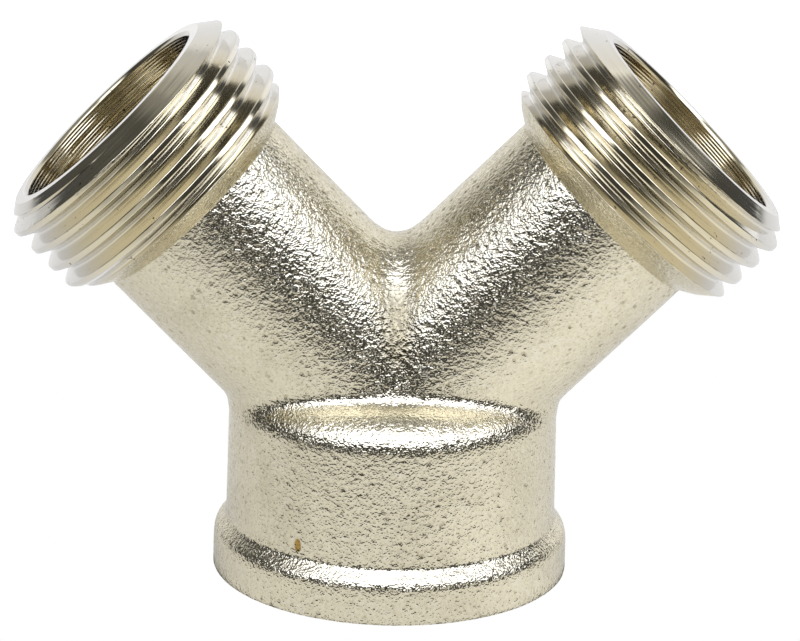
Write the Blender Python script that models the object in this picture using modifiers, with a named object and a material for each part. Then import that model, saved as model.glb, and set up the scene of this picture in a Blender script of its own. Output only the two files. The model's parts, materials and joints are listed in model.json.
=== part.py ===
"""Two-way hose splitter: a Y-shaped plated body with a female inlet and two male outlets,
and the flat sealing washer just below the seat at the end of the inlet thread.

Frame: origin at the centre of the inlet face, +Z up along the inlet axis. The outlets lean
apart in the XZ plane, the left one towards -X. Blender units are metres; the dimensions
below are in mm. Names in _R are radii, in _Z heights, in _S distances along an arm's axis
from the point where the three axes meet.
"""

import math

import bmesh
import bpy
from mathutils import Vector

MM = 0.001
MERGE_DISTANCE = 0.01 * MM

# 3/4-11.5 garden hose thread
PITCH = 25.4 / 11.5
MALE_MAJOR_R = 13.494
MALE_MINOR_R = 12.25
FEMALE_MAJOR_R = 13.62
FEMALE_MINOR_R = 12.30
FLANK_SLOPE = math.tan(math.radians(30.0))  # 60 degree included thread angle
HALF_FLAT = PITCH / 16.0  # half of the flat at the bottom of a groove

# Arms
ARM_ANGLE = math.radians(44.45)  # each outlet axis from the inlet axis
ARM_ROOT_Z = 15.8  # where the three axes meet
ARM_R = 10.4
HEAD_BACK_S = 26.9  # where the threaded head rises out of the arm
MOUTH_S = 38.0  # outlet face
MOUTH_LIP_R = 11.50  # outer edge of the flat outlet face
MOUTH_CHAMFER_S = 1.50  # length of the lead chamfer along the arm

# Blend of the two arms
CROTCH_BLEND = 3.6  # width of the smooth blend between the arms
FAN_HEIGHT = 18.4  # height above the root of the line the section planes turn about
FAN_LIFT = 3.0  # lift of the section centre at the symmetry plane, fading to none
FAN_STEPS = 8
MARCH_STEP = 0.25  # coarse step of the search for the surface
BISECTIONS = 30

# Inlet socket
SOCKET_R = 15.36
SOCKET_TOP_R = 15.2  # forging draft
SHOULDER_Z = 15.9
SHOULDER_TOP_Z = 19.4
RIM_R = 16.54
RIM_TOP_Z = 5.6  # top of the slope out to the rim
RIM_EDGE_Z = 2.4  # bottom of that slope
RIM_SLOPE_STEPS = 8
RIM_CHAMFER = 0.12

# Waterway
CUT_OVERRUN = 1.0  # how far the bores run out past an open face
INLET_PORT_R = 8.6
INLET_PORT_TOP_Z = 18.5
INLET_TIP_Z = 21.5  # point of the cone above the port
SEAT_Z = 12.8
RELIEF_R = 13.70
RELIEF_Z = 9.7  # bottom of the relief between thread and seat
RELIEF_TAPER = 0.8
INLET_LEAD = 1.7  # 45 degree lead-in at the inlet face
ARM_BORE_R = 8.25
ARM_BORE_TAPER = 1.0  # the arm bore narrows at 45 degrees from this far above the root
MOUTH_BORE_R = 10.165
MOUTH_BORE_S = 29.6  # bottom of the straight outlet counterbore
MOUTH_BORE_TAPER = 1.9
MOUTH_BORE_CHAMFER = 0.3

# Thread grooves
INLET_GROOVE_START_Z = -2.3
INLET_GROOVE_TURNS = 6
INLET_GROOVE_OVERLAP = 0.15  # how far the cutter reaches in past the thread crest
OUTLET_GROOVE_S = {"left": 35.90, "right": 34.70}  # a crossing of the arm's local +X
OUTLET_GROOVE_TURNS = 7
OUTLET_GROOVE_TURNS_BELOW = 5  # turns between the cutter's start and that crossing
OUTLET_GROOVE_OVERLAP = 0.2  # how far the cutter reaches out past the thread crest

# Sealing washer, 24 x 17 x 2.5
WASHER_R = 12.0
WASHER_HOLE_R = 8.5
WASHER_THICKNESS = 2.5
WASHER_CHAMFER = 0.25
WASHER_GAP = 0.2  # to the seat

ROUND_SEGMENTS = 40  # arms, bores and threads
SOCKET_SEGMENTS = 60
WASHER_SEGMENTS = 48
SHARP_ANGLE = math.radians(28.0)


# ---------------------------------------------------------------- scene and meshes
def clear_scene():
    for obj in list(bpy.data.objects):
        bpy.data.objects.remove(obj, do_unlink=True)


def new_collection(name):
    collection = bpy.data.collections.new(name)
    bpy.context.scene.collection.children.link(collection)
    return collection


def new_material(name, colour, roughness, metallic):
    material = bpy.data.materials.new(name)
    material.use_nodes = True
    shader = material.node_tree.nodes["Principled BSDF"]
    shader.inputs["Base Color"].default_value = (*colour, 1.0)
    shader.inputs["Roughness"].default_value = roughness
    shader.inputs["Metallic"].default_value = metallic
    return material


def add_object(name, mesh, collection):
    obj = bpy.data.objects.new(name, mesh)
    collection.objects.link(obj)
    return obj


def outline_mesh(name, points, closed):
    """A wire outline in the XZ plane; points are (radius, height)."""
    mesh = bpy.data.meshes.new(name)
    bm = bmesh.new()
    verts = [bm.verts.new((radius * MM, 0.0, z * MM)) for radius, z in points]
    for start, end in zip(verts, verts[1:]):
        bm.edges.new((start, end))
    if closed:
        bm.edges.new((verts[-1], verts[0]))
    bm.to_mesh(mesh)
    bm.free()
    return mesh


def add_screw(obj, name, segments):
    """Sweeps the object's outline round Z."""
    screw = obj.modifiers.new(name, "SCREW")
    screw.axis = "Z"
    screw.angle = math.tau
    screw.steps = segments
    screw.render_steps = segments
    return screw


def turned(name, points, collection, segments, closed=False):
    """A turned solid; its outline runs down the outer side."""
    obj = add_object(name, outline_mesh(name, points, closed), collection)
    screw = add_screw(obj, "Turn", segments)
    screw.use_merge_vertices = True
    screw.merge_threshold = MERGE_DISTANCE
    return obj


def bake_modifiers(obj):
    """Replaces the object's mesh by its evaluated mesh."""
    bpy.context.view_layer.update()
    graph = bpy.context.evaluated_depsgraph_get()
    mesh = bpy.data.meshes.new_from_object(obj.evaluated_get(graph))
    obj.modifiers.clear()
    obj.data = mesh


def face_outward(mesh):
    bm = bmesh.new()
    bm.from_mesh(mesh)
    bmesh.ops.recalc_face_normals(bm, faces=bm.faces)
    if bm.calc_volume(signed=True) < 0:
        bmesh.ops.reverse_faces(bm, faces=bm.faces)
    bm.to_mesh(mesh)
    bm.free()


def shade(mesh):
    mesh.shade_smooth()
    mesh.set_sharp_from_angle(angle=SHARP_ANGLE)


def helix_cutter(name, section, start_z, turns, collection):
    """A thread groove cutter: a closed (radius, height) section on a right-hand helix."""
    points = [(radius, z + start_z) for radius, z in section]
    obj = add_object(name, outline_mesh(name, points, closed=True), collection)
    screw = add_screw(obj, "Helix", ROUND_SEGMENTS)
    screw.screw_offset = PITCH * MM
    screw.iterations = turns
    bake_modifiers(obj)

    # Close the two ends
    bm = bmesh.new()
    bm.from_mesh(obj.data)
    bmesh.ops.holes_fill(bm, edges=bm.edges, sides=0)
    bm.to_mesh(obj.data)
    bm.free()
    face_outward(obj.data)
    return as_cutter(obj)


def as_cutter(obj):
    obj.hide_render = True
    obj.display_type = "WIRE"
    return obj


def boolean(target, tool, operation):
    modifier = target.modifiers.new(f"{operation.title()} {tool.name}", "BOOLEAN")
    modifier.operation = operation
    modifier.object = tool
    modifier.solver = "EXACT"


def place_on_arm(obj, side):
    """Moves the object's frame to the root, with its Z along the arm."""
    obj.location = (0.0, 0.0, ARM_ROOT_Z * MM)
    obj.rotation_euler = (0.0, -ARM_ANGLE if side == "left" else ARM_ANGLE, 0.0)


# ---------------------------------------------------------------- the V of the two arms
# Points in this section are in mm from the root, where the axes meet.
LEFT_AXIS = Vector((-math.sin(ARM_ANGLE), 0.0, math.cos(ARM_ANGLE)))
RIGHT_AXIS = Vector((math.sin(ARM_ANGLE), 0.0, math.cos(ARM_ANGLE)))

# (distance along the arm, radius) of the outlet head, before its thread is cut
HEAD_STATIONS = [
    (HEAD_BACK_S, ARM_R),
    (HEAD_BACK_S + 0.3, ARM_R + 0.7),
    (HEAD_BACK_S + 0.9, ARM_R + 1.55),
    (HEAD_BACK_S + 2.45, MALE_MAJOR_R),
    (MOUTH_S - MOUTH_CHAMFER_S, MALE_MAJOR_R),
    (MOUTH_S, MOUTH_LIP_R),
]


def arms_distance(point):
    """Signed distance to the two arms, blended smoothly where they meet."""
    near, far = sorted(
        (point - axis * max(point.dot(axis), 0.0)).length - ARM_R
        for axis in (LEFT_AXIS, RIGHT_AXIS)
    )
    share = max(CROTCH_BLEND - (far - near), 0.0) / CROTCH_BLEND
    return near - share * share * CROTCH_BLEND / 4.0


def surface_point(centre, direction):
    """Where a ray from inside the arms first leaves them."""
    low = 0.0
    while arms_distance(centre + direction * (low + MARCH_STEP)) < 0.0:
        low += MARCH_STEP
    high = low + MARCH_STEP
    for _ in range(BISECTIONS):
        middle = (low + high) / 2.0
        if arms_distance(centre + direction * middle) < 0.0:
            low = middle
        else:
            high = middle
    return centre + direction * high


def section_directions(across):
    """Unit vectors round a section plane spanned by the given vector and Y."""
    y_axis = Vector((0.0, 1.0, 0.0))
    angles = [math.tau * i / ROUND_SEGMENTS for i in range(ROUND_SEGMENTS)]
    return [across * math.cos(angle) + y_axis * math.sin(angle) for angle in angles]


def left_arm_sections():
    """Rings that fan out from the symmetry plane, then follow the left arm to its mouth."""
    sections = []
    for k in range(FAN_STEPS + 1):
        turn = (math.pi / 2.0 - ARM_ANGLE) * k / FAN_STEPS
        across = Vector((math.sin(turn), 0.0, math.cos(turn)))
        along = FAN_HEIGHT * math.sin(turn) / math.sin(ARM_ANGLE + turn)
        centre = LEFT_AXIS * along + across * FAN_LIFT * (1.0 - k / FAN_STEPS)
        sections.append([surface_point(centre, ray) for ray in section_directions(across)])

    across = Vector((math.cos(ARM_ANGLE), 0.0, math.sin(ARM_ANGLE)))
    for along, radius in HEAD_STATIONS:
        sections.append([LEFT_AXIS * along + ray * radius for ray in section_directions(across)])
    return sections


def build_arms(collection):
    """The left arm is lofted, open at the symmetry plane; a Mirror adds the right arm."""
    root = Vector((0.0, 0.0, ARM_ROOT_Z))
    bm = bmesh.new()
    rings = [
        [bm.verts.new((root + point) * MM) for point in section]
        for section in left_arm_sections()
    ]
    for vert in rings[0]:
        vert.co.x = 0.0
    for ring, following in zip(rings, rings[1:]):
        for i in range(ROUND_SEGMENTS):
            j = (i + 1) % ROUND_SEGMENTS
            bm.faces.new((ring[i], following[i], following[j], ring[j]))
    bm.faces.new(rings[-1])
    bmesh.ops.recalc_face_normals(bm, faces=bm.faces)
    mesh = bpy.data.meshes.new("arms")
    bm.to_mesh(mesh)
    bm.free()

    obj = add_object("arms", mesh, collection)
    mirror = obj.modifiers.new("Mirror", "MIRROR")
    mirror.use_axis = (True, False, False)
    mirror.use_clip = True
    mirror.merge_threshold = MERGE_DISTANCE
    bake_modifiers(obj)
    face_outward(obj.data)
    return as_cutter(obj)


# ---------------------------------------------------------------- inlet socket
def rim_slope():
    """The S-shaped slope from the socket wall down and out to the rim."""
    points = []
    for i in range(1, RIM_SLOPE_STEPS + 1):
        t = i / RIM_SLOPE_STEPS
        ease = t * t * (3.0 - 2.0 * t)
        radius = SOCKET_R + (RIM_R - SOCKET_R) * ease
        points.append((radius, RIM_TOP_Z + (RIM_EDGE_Z - RIM_TOP_Z) * t))
    return points


def build_socket(collection):
    """A cylinder with a rim at its foot and a sloping shoulder under the arms."""
    outline = [  # (radius, height)
        (0.0, SHOULDER_TOP_Z),
        (9.6, SHOULDER_TOP_Z),
        (10.6, 18.9),
        (13.9, 17.35),
        (14.8, 16.8),
        (SOCKET_TOP_R - 0.05, 16.3),
        (SOCKET_TOP_R, SHOULDER_Z),
        (SOCKET_R, RIM_TOP_Z),
        *rim_slope(),
        (RIM_R, RIM_CHAMFER),
        (RIM_R - RIM_CHAMFER, 0.0),
        (0.0, 0.0),
    ]
    return turned("splitter_body", outline, collection, SOCKET_SEGMENTS)


# ---------------------------------------------------------------- bores and grooves
def build_inlet_bore(collection):
    """The threaded inlet with its washer seat, and the port above it."""
    outline = [
        (0.0, INLET_TIP_Z),
        (INLET_PORT_R, INLET_PORT_TOP_Z),
        (INLET_PORT_R, SEAT_Z),
        (RELIEF_R, SEAT_Z),
        (RELIEF_R, RELIEF_Z + RELIEF_TAPER),
        (FEMALE_MINOR_R, RELIEF_Z),
        (FEMALE_MINOR_R, INLET_LEAD),
        (FEMALE_MINOR_R + (INLET_LEAD + CUT_OVERRUN), -CUT_OVERRUN),
        (0.0, -CUT_OVERRUN),
    ]
    return as_cutter(turned("inlet_bore", outline, collection, ROUND_SEGMENTS))


def build_inlet_groove(collection):
    inner_r = FEMALE_MINOR_R - INLET_GROOVE_OVERLAP
    half_width = HALF_FLAT + (FEMALE_MAJOR_R - inner_r) * FLANK_SLOPE
    section = [
        (inner_r, half_width),
        (FEMALE_MAJOR_R, HALF_FLAT),
        (FEMALE_MAJOR_R, -HALF_FLAT),
        (inner_r, -half_width),
    ]
    return helix_cutter(
        "inlet_groove", section, INLET_GROOVE_START_Z, INLET_GROOVE_TURNS, collection
    )


def build_outlet_bore(side, collection):
    outline = [
        (0.0, MOUTH_S + CUT_OVERRUN),
        (MOUTH_BORE_R + (MOUTH_BORE_CHAMFER + CUT_OVERRUN), MOUTH_S + CUT_OVERRUN),
        (MOUTH_BORE_R, MOUTH_S - MOUTH_BORE_CHAMFER),
        (MOUTH_BORE_R, MOUTH_BORE_S),
        (ARM_BORE_R, MOUTH_BORE_S - MOUTH_BORE_TAPER),
        (ARM_BORE_R, ARM_BORE_TAPER),
        (ARM_BORE_R - (ARM_BORE_TAPER + CUT_OVERRUN), -CUT_OVERRUN),
        (0.0, -CUT_OVERRUN),
    ]
    bore = as_cutter(turned(f"{side}_outlet_bore", outline, collection, ROUND_SEGMENTS))
    place_on_arm(bore, side)
    return bore


def build_outlet_groove(side, collection):
    outer_r = MALE_MAJOR_R + OUTLET_GROOVE_OVERLAP
    half_width = HALF_FLAT + (outer_r - MALE_MINOR_R) * FLANK_SLOPE
    section = [
        (outer_r, half_width),
        (outer_r, -half_width),
        (MALE_MINOR_R, -HALF_FLAT),
        (MALE_MINOR_R, HALF_FLAT),
    ]
    start = OUTLET_GROOVE_S[side] - OUTLET_GROOVE_TURNS_BELOW * PITCH
    groove = helix_cutter(
        f"{side}_outlet_groove", section, start, OUTLET_GROOVE_TURNS, collection
    )
    place_on_arm(groove, side)
    return groove


# ---------------------------------------------------------------- finished pieces
def build_body(parts, cutters, material):
    body = build_socket(parts)
    body.data.materials.append(material)
    boolean(body, build_arms(cutters), "UNION")

    # The outlet bores join the inlet bore, so the waterway is cut in one go
    inlet_bore = build_inlet_bore(cutters)
    boolean(body, inlet_bore, "DIFFERENCE")
    boolean(body, build_inlet_groove(cutters), "DIFFERENCE")
    for side in ("left", "right"):
        boolean(inlet_bore, build_outlet_bore(side, cutters), "UNION")
        boolean(body, build_outlet_groove(side, cutters), "DIFFERENCE")

    bake_modifiers(body)
    shade(body.data)


def build_washer(parts, material):
    top = SEAT_Z - WASHER_GAP
    bottom = top - WASHER_THICKNESS
    outline = [
        (WASHER_HOLE_R, top - WASHER_CHAMFER),
        (WASHER_HOLE_R + WASHER_CHAMFER, top),
        (WASHER_R - WASHER_CHAMFER, top),
        (WASHER_R, top - WASHER_CHAMFER),
        (WASHER_R, bottom + WASHER_CHAMFER),
        (WASHER_R - WASHER_CHAMFER, bottom),
        (WASHER_HOLE_R + WASHER_CHAMFER, bottom),
        (WASHER_HOLE_R, bottom + WASHER_CHAMFER),
    ]
    washer = turned("inlet_washer", outline, parts, WASHER_SEGMENTS, closed=True)
    washer.data.materials.append(material)
    bake_modifiers(washer)
    face_outward(washer.data)
    shade(washer.data)


clear_scene()
parts_collection = new_collection("hose_splitter")
cutters_collection = new_collection("cutters")
nickel = new_material(
    "nickel_plated_brass", colour=(0.72, 0.67, 0.56), roughness=0.32, metallic=1.0
)
rubber = new_material(
    "black_epdm_rubber", colour=(0.03, 0.03, 0.032), roughness=0.75, metallic=0.0
)
build_body(parts_collection, cutters_collection, nickel)
build_washer(parts_collection, rubber)
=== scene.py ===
"""Looks for the two-way hose splitter: the forged skin, the cut threads and the sealing washer,
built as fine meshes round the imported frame. Lengths inside the helpers are millimetres."""

import json
import math

import bmesh
import bpy
import numpy as np
from mathutils import Matrix, Vector


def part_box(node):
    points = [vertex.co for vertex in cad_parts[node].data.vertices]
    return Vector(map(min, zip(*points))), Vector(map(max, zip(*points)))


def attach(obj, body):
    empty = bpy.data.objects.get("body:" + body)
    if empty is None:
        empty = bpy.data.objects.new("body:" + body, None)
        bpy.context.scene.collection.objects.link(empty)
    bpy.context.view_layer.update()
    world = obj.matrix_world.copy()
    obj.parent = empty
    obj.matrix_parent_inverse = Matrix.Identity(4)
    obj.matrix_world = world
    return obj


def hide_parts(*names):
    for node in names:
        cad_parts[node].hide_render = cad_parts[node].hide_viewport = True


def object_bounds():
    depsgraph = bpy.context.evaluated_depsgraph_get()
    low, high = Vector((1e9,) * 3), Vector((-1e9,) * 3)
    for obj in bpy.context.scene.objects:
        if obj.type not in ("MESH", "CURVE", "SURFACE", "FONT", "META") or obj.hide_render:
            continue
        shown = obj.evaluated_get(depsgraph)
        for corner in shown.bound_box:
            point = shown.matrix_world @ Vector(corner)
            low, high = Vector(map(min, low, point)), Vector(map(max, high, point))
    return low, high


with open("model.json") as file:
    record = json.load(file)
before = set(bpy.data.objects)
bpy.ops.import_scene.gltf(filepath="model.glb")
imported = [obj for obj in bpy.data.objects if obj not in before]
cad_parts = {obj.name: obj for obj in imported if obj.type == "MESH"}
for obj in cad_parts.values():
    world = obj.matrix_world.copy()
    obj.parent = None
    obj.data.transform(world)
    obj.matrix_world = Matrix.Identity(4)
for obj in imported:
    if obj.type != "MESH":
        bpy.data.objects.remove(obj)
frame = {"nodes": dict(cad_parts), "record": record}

cad_low, cad_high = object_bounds()
MM = 0.001

# ---------------------------------------------------------------- sizes, from the frame
mounts = {m["name"]: m for m in frame["record"]["mounts"]}
outlet = mounts["right_outlet_face"]
ARM = math.atan2(outlet["axis"][0], outlet["axis"][2])  # each outlet axis from the inlet axis
MOUTH_S = outlet["pos_m"][0] / outlet["axis"][0] / MM  # outlet face, along its axis from the root
ROOT_Z = outlet["pos_m"][2] / MM - MOUTH_S * math.cos(ARM)
body_low, body_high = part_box("splitter_body")
washer_low, washer_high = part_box("inlet_washer")
RIM_R = body_high.y / MM

PITCH = 25.4 / 11.5
TAN30 = math.tan(math.radians(30.0))
MAJOR_R, MINOR_R = 13.494, 12.25
LIP_R, LIP_S = 11.50, 1.50  # outer edge of the flat outlet face, and the chamfer behind it
GROOVE = {"left": 35.90, "right": 35.83}  # groove centre on the upper, inner side of each outlet
ARM_R = 10.38
CROTCH, VALLEY = 3.6, 1.3  # blend between the arms: wide at the crotch, tight down the front and back
MOUTH_BORE_R, MOUTH_BORE_S, ARM_BORE_R = 10.165, 29.6, 8.25
BORE_FEED = 0.28  # pitch of the boring marks
SEAT_Z, RELIEF_R, RELIEF_Z, PORT_R = 12.8, 13.70, 9.7, 8.6
FEMALE_MAJOR_R, FEMALE_MINOR_R = 13.62, 12.30
HEAD_S = 26.95  # the forged tube ends inside the head of each outlet
INSERT_R = 14.35  # hidden joint between the inlet piece and the forging
GRAIN, GRAIN_ARM = 1.7, 2.25  # depth of the blasted grain on the socket and on the arms
NICK = (-8.70, -12.66, 6.2)  # a small spot on the socket where the plating is knocked off


# ---------------------------------------------------------------- noise in numpy
def lattice(cell, seed):
    """A 32-bit hash of integer cells."""
    i, j, k = (cell[..., n].astype(np.int64).astype(np.uint32) for n in range(3))
    h = i * np.uint32(374761393) + j * np.uint32(668265263) + k * np.uint32(2246822519)
    h = h + np.uint32((seed * 3266489917 + 97) & 0xFFFFFFFF)
    for shift, factor in ((15, 2246822519), (13, 3266489917)):
        h = (h ^ (h >> np.uint32(shift))) * np.uint32(factor)
    return h ^ (h >> np.uint32(16))


def gradient_noise(p, wavelength, seed):
    """Perlin noise, about -0.7 to 0.7."""
    q = p / wavelength
    base = np.floor(q)
    f = q - base
    w = f * f * f * (f * (f * 6.0 - 15.0) + 10.0)
    total = np.zeros(len(p))
    for corner in range(8):
        off = np.array([corner & 1, (corner >> 1) & 1, corner >> 2])
        h = lattice(base + off, seed)
        g = np.stack([((h >> np.uint32(s)) & np.uint32(1023)) / 511.5 - 1.0 for s in (0, 10, 20)], -1)
        weight = np.prod(np.where(off == 1, w, 1.0 - w), axis=1)
        total += weight * ((f - off) * g).sum(1)
    return total


def cell_noise(p, wavelength, seed):
    """Distance to the nearest scattered point, and that point's own random number."""
    q = p / wavelength
    base = np.floor(q)
    best = np.full(len(p), 9.0)
    own = np.zeros(len(p))
    for a in (-1, 0, 1):
        for b in (-1, 0, 1):
            for c in (-1, 0, 1):
                cell = base + (a, b, c)
                h = lattice(cell, seed)
                point = cell + np.stack([((h >> np.uint32(s)) & np.uint32(1023)) / 1023.0 for s in (0, 10, 20)], -1)
                d = np.sqrt(((q - point) ** 2).sum(1))
                near = d < best
                best = np.where(near, d, best)
                own = np.where(near, (lattice(cell, seed + 7) & np.uint32(65535)) / 65535.0, own)
    return best, own


def smoothstep(x, low, high):
    t = np.clip((x - low) / (high - low), 0.0, 1.0)
    return t * t * (3.0 - 2.0 * t)


def soft_min(a, b, k):
    h = np.maximum(k - np.abs(a - b), 0.0) / k
    return np.minimum(a, b) - h * h * k / 4.0


def soft_max(a, b, k):
    return -soft_min(-a, -b, k)


# ---------------------------------------------------------------- mesh helpers
def mesh_from(name, points, faces, smooth=True):
    """points in millimetres, faces as an (n, 4) or (n, 3) array."""
    mesh = bpy.data.meshes.new(name)
    faces = np.asarray(faces, np.int32)
    n, k = faces.shape
    mesh.vertices.add(len(points))
    mesh.vertices.foreach_set("co", np.asarray(points, np.float32).ravel())
    mesh.loops.add(n * k)
    mesh.loops.foreach_set("vertex_index", faces.ravel())
    mesh.polygons.add(n)
    mesh.polygons.foreach_set("loop_start", np.arange(0, n * k, k, dtype=np.int32))
    mesh.update(calc_edges=True)
    if smooth:
        mesh.shade_smooth()
    return mesh


def add_object(name, mesh):
    obj = bpy.data.objects.new(name, mesh)
    bpy.context.scene.collection.objects.link(obj)
    return obj


def drop(obj):
    mesh = obj.data
    bpy.data.objects.remove(obj)
    if mesh.users == 0:
        bpy.data.meshes.remove(mesh)


def applied(obj):
    """The object's evaluated mesh takes the place of its own."""
    graph = bpy.context.evaluated_depsgraph_get()
    mesh = bpy.data.meshes.new_from_object(obj.evaluated_get(graph))
    obj.modifiers.clear()
    old, obj.data = obj.data, mesh
    bpy.data.meshes.remove(old)
    return obj


def points_of(mesh):
    co = np.zeros(len(mesh.vertices) * 3, np.float32)
    mesh.vertices.foreach_get("co", co)
    return co.reshape(-1, 3).astype(float)


def wrap_faces(rows, around):
    """Quads between rings of a grid that closes both ways, so the solid is a closed ring."""
    j, i = np.meshgrid(np.arange(rows), np.arange(around), indexing="ij")
    j2, i2 = (j + 1) % rows, (i + 1) % around
    return np.stack([j * around + i, j * around + i2, j2 * around + i2, j2 * around + i], -1).reshape(-1, 4)


def turned(name, profile, around):
    """A solid of revolution about Z from an open outline that starts and ends on the axis, or a closed ring."""
    profile = np.array(profile, float)
    t = np.arange(around) * math.tau / around
    on_axis = profile[0, 0] == 0.0
    ring = profile[1:-1] if on_axis else profile
    p = np.stack([ring[:, :1] * np.cos(t), ring[:, :1] * np.sin(t), np.repeat(ring[:, 1:], around, 1)], -1).reshape(-1, 3)
    if not on_axis:
        obj = add_object(name, mesh_from(name, p, wrap_faces(len(ring), around)))
    else:
        bm = bmesh.new()
        v = [bm.verts.new(q) for q in p]
        top, bottom = bm.verts.new((0, 0, profile[0, 1])), bm.verts.new((0, 0, profile[-1, 1]))
        for i in range(around):
            k = (i + 1) % around
            for j in range(len(ring) - 1):
                bm.faces.new([v[n] for n in (j * around + i, (j + 1) * around + i, (j + 1) * around + k, j * around + k)])
            bm.faces.new([top, v[i], v[k]])
            last = (len(ring) - 1) * around
            bm.faces.new([bottom, v[last + k], v[last + i]])
        mesh = bpy.data.meshes.new(name)
        bm.to_mesh(mesh)
        bm.free()
        obj = add_object(name, mesh)
    outward(obj.data)
    return obj


def outward(mesh):
    bm = bmesh.new()
    bm.from_mesh(mesh)
    bmesh.ops.recalc_face_normals(bm, faces=bm.faces)
    if bm.calc_volume(signed=True) < 0:
        bmesh.ops.reverse_faces(bm, faces=bm.faces)
    bm.to_mesh(mesh)
    bm.free()


def arm_matrix(sign):
    """Columns: local x (up and inward side), y, and the outlet axis; sign -1 is the left outlet."""
    x = Vector((-sign * math.cos(ARM), 0, math.sin(ARM)))
    z = Vector((sign * math.sin(ARM), 0, math.cos(ARM)))
    m = Matrix((x, z.cross(x), z)).transposed().to_4x4()
    m.translation = (0, 0, ROOT_Z)
    return m


def cut(obj, tool, operation="DIFFERENCE"):
    mod = obj.modifiers.new("cut", "BOOLEAN")
    mod.operation = operation
    mod.object = tool
    mod.solver = "MANIFOLD"
    applied(obj)
    drop(tool)


# ---------------------------------------------------------------- the forged skin as a distance field
def socket_outline():
    """(radius, height) of the socket, rim and shoulder, from the bottom up to the axis."""
    rim = [
        (RIM_R, -3.0), (RIM_R, 0.3), (16.53, 2.0), (16.51, 2.8), (16.47, 3.3), (16.38, 3.65), (16.23, 3.95),
        (16.0, 4.25), (15.70, 4.60), (15.45, 4.93), (15.38, 5.12), (15.36, 5.5),
    ]
    shoulder = [
        (11.0 + 4.2 * math.sin(t), 15.4 + 3.5 * math.cos(t)) for t in np.linspace(math.pi / 2, 0.0, 16)
    ]
    return np.array([*rim, *shoulder, (0.0, 18.95)])


def outline_field():
    """Signed distance to the socket outline, sampled on a fine (radius, height) grid."""
    outline = socket_outline()
    r = np.arange(0.0, 22.0, 0.05)
    z = np.arange(-3.0, 26.0, 0.05)
    R, Z = np.meshgrid(r, z, indexing="ij")
    q = np.stack([R, Z], -1).reshape(-1, 2)
    best = np.full(len(q), 1e9)
    for a, b in zip(outline[:-1], outline[1:]):
        d = b - a
        t = np.clip(((q - a) @ d) / (d @ d), 0.0, 1.0)
        best = np.minimum(best, np.hypot(*(q - a - t[:, None] * d).T))
    # inside: left of the outline at that height
    heights, radii = outline[:-1, 1], outline[:-1, 0]
    inside = (q[:, 0] < np.interp(q[:, 1], heights, radii)) & (q[:, 1] < 18.95)
    field = np.where(inside, -best, best).reshape(R.shape)
    for _ in range(4):  # rounds the corners a little
        pad = np.pad(field, 1, mode="edge")
        field = (pad[:-2, 1:-1] + pad[2:, 1:-1] + pad[1:-1, :-2] + pad[1:-1, 2:] + 2.0 * field) / 6.0
    return field


FIELD = outline_field()


def socket_distance(p):
    u = np.clip(np.hypot(p[:, 0], p[:, 1]) / 0.05, 0, FIELD.shape[0] - 1.001)
    v = np.clip((p[:, 2] + 3.0) / 0.05, 0, FIELD.shape[1] - 1.001)
    i, j = u.astype(int), v.astype(int)
    a, b = u - i, v - j
    return (FIELD[i, j] * (1 - a) + FIELD[i + 1, j] * a) * (1 - b) + (
        FIELD[i, j + 1] * (1 - a) + FIELD[i + 1, j + 1] * a
    ) * b


def arm_distance(p, sign):
    axis = np.array([sign * math.sin(ARM), 0.0, math.cos(ARM)])
    q = p - (0.0, 0.0, ROOT_Z)
    along = np.maximum(q @ axis, 0.0)
    return np.linalg.norm(q - along[:, None] * axis, axis=1) - ARM_R


def forged_distance(p):
    blend = CROTCH - (CROTCH - VALLEY) * smoothstep(np.abs(p[:, 1]), 2.0, 8.5)
    arms = soft_min(arm_distance(p, -1), arm_distance(p, 1), blend)
    return soft_min(arms, socket_distance(p), 1.3)


def gradient(p, h=0.04):
    g = np.stack([forged_distance(p + e) - forged_distance(p - e) for e in np.eye(3) * h], -1)
    return g / np.maximum(np.linalg.norm(g, axis=1, keepdims=True), 1e-9)


def on_surface(p, rounds):
    for _ in range(rounds):
        p = p - forged_distance(p)[:, None] * gradient(p)
    return p


def forged_grain(p, out):
    """Height of the shot-blasted forging skin over the ideal surface."""
    lean = np.array([math.cos(0.5), 0.0, -math.sin(0.5)])  # the blasting left its marks a little longer one way
    q = p - 0.30 * (p @ lean)[:, None] * lean
    q = q + 0.12 * np.stack([gradient_noise(p, 0.8, k) for k in (1, 2, 3)], -1)
    hammer = gradient_noise(q, 0.40, 11) + 0.9 * gradient_noise(q, 0.72, 12)
    ripple = 1.0 - 2.0 * np.abs(gradient_noise(q, 0.62, 13))
    broad = gradient_noise(p, 3.4, 14) + 0.6 * gradient_noise(p, 1.7, 15)
    d, own = cell_noise(q, 0.62, 21)
    pits = -np.where(own > 0.55, smoothstep(0.46 - d, 0.0, 0.36), 0.0)
    spot = np.linalg.norm((p - NICK) * (1.0, 1.0, 0.55), axis=1)
    depth = GRAIN + (GRAIN_ARM - GRAIN) * smoothstep(p[:, 2], 19.5, 23.0)
    depth = depth * (1.0 - 0.38 * smoothstep(out[:, 2], 0.10, 0.30) * smoothstep(19.6 - p[:, 2], 0.0, 1.0))
    return depth * (0.015 * hammer + 0.006 * ripple + 0.028 * pits) + 0.014 * broad - 0.07 * smoothstep(0.42 - spot, 0.0, 0.16)


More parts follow.
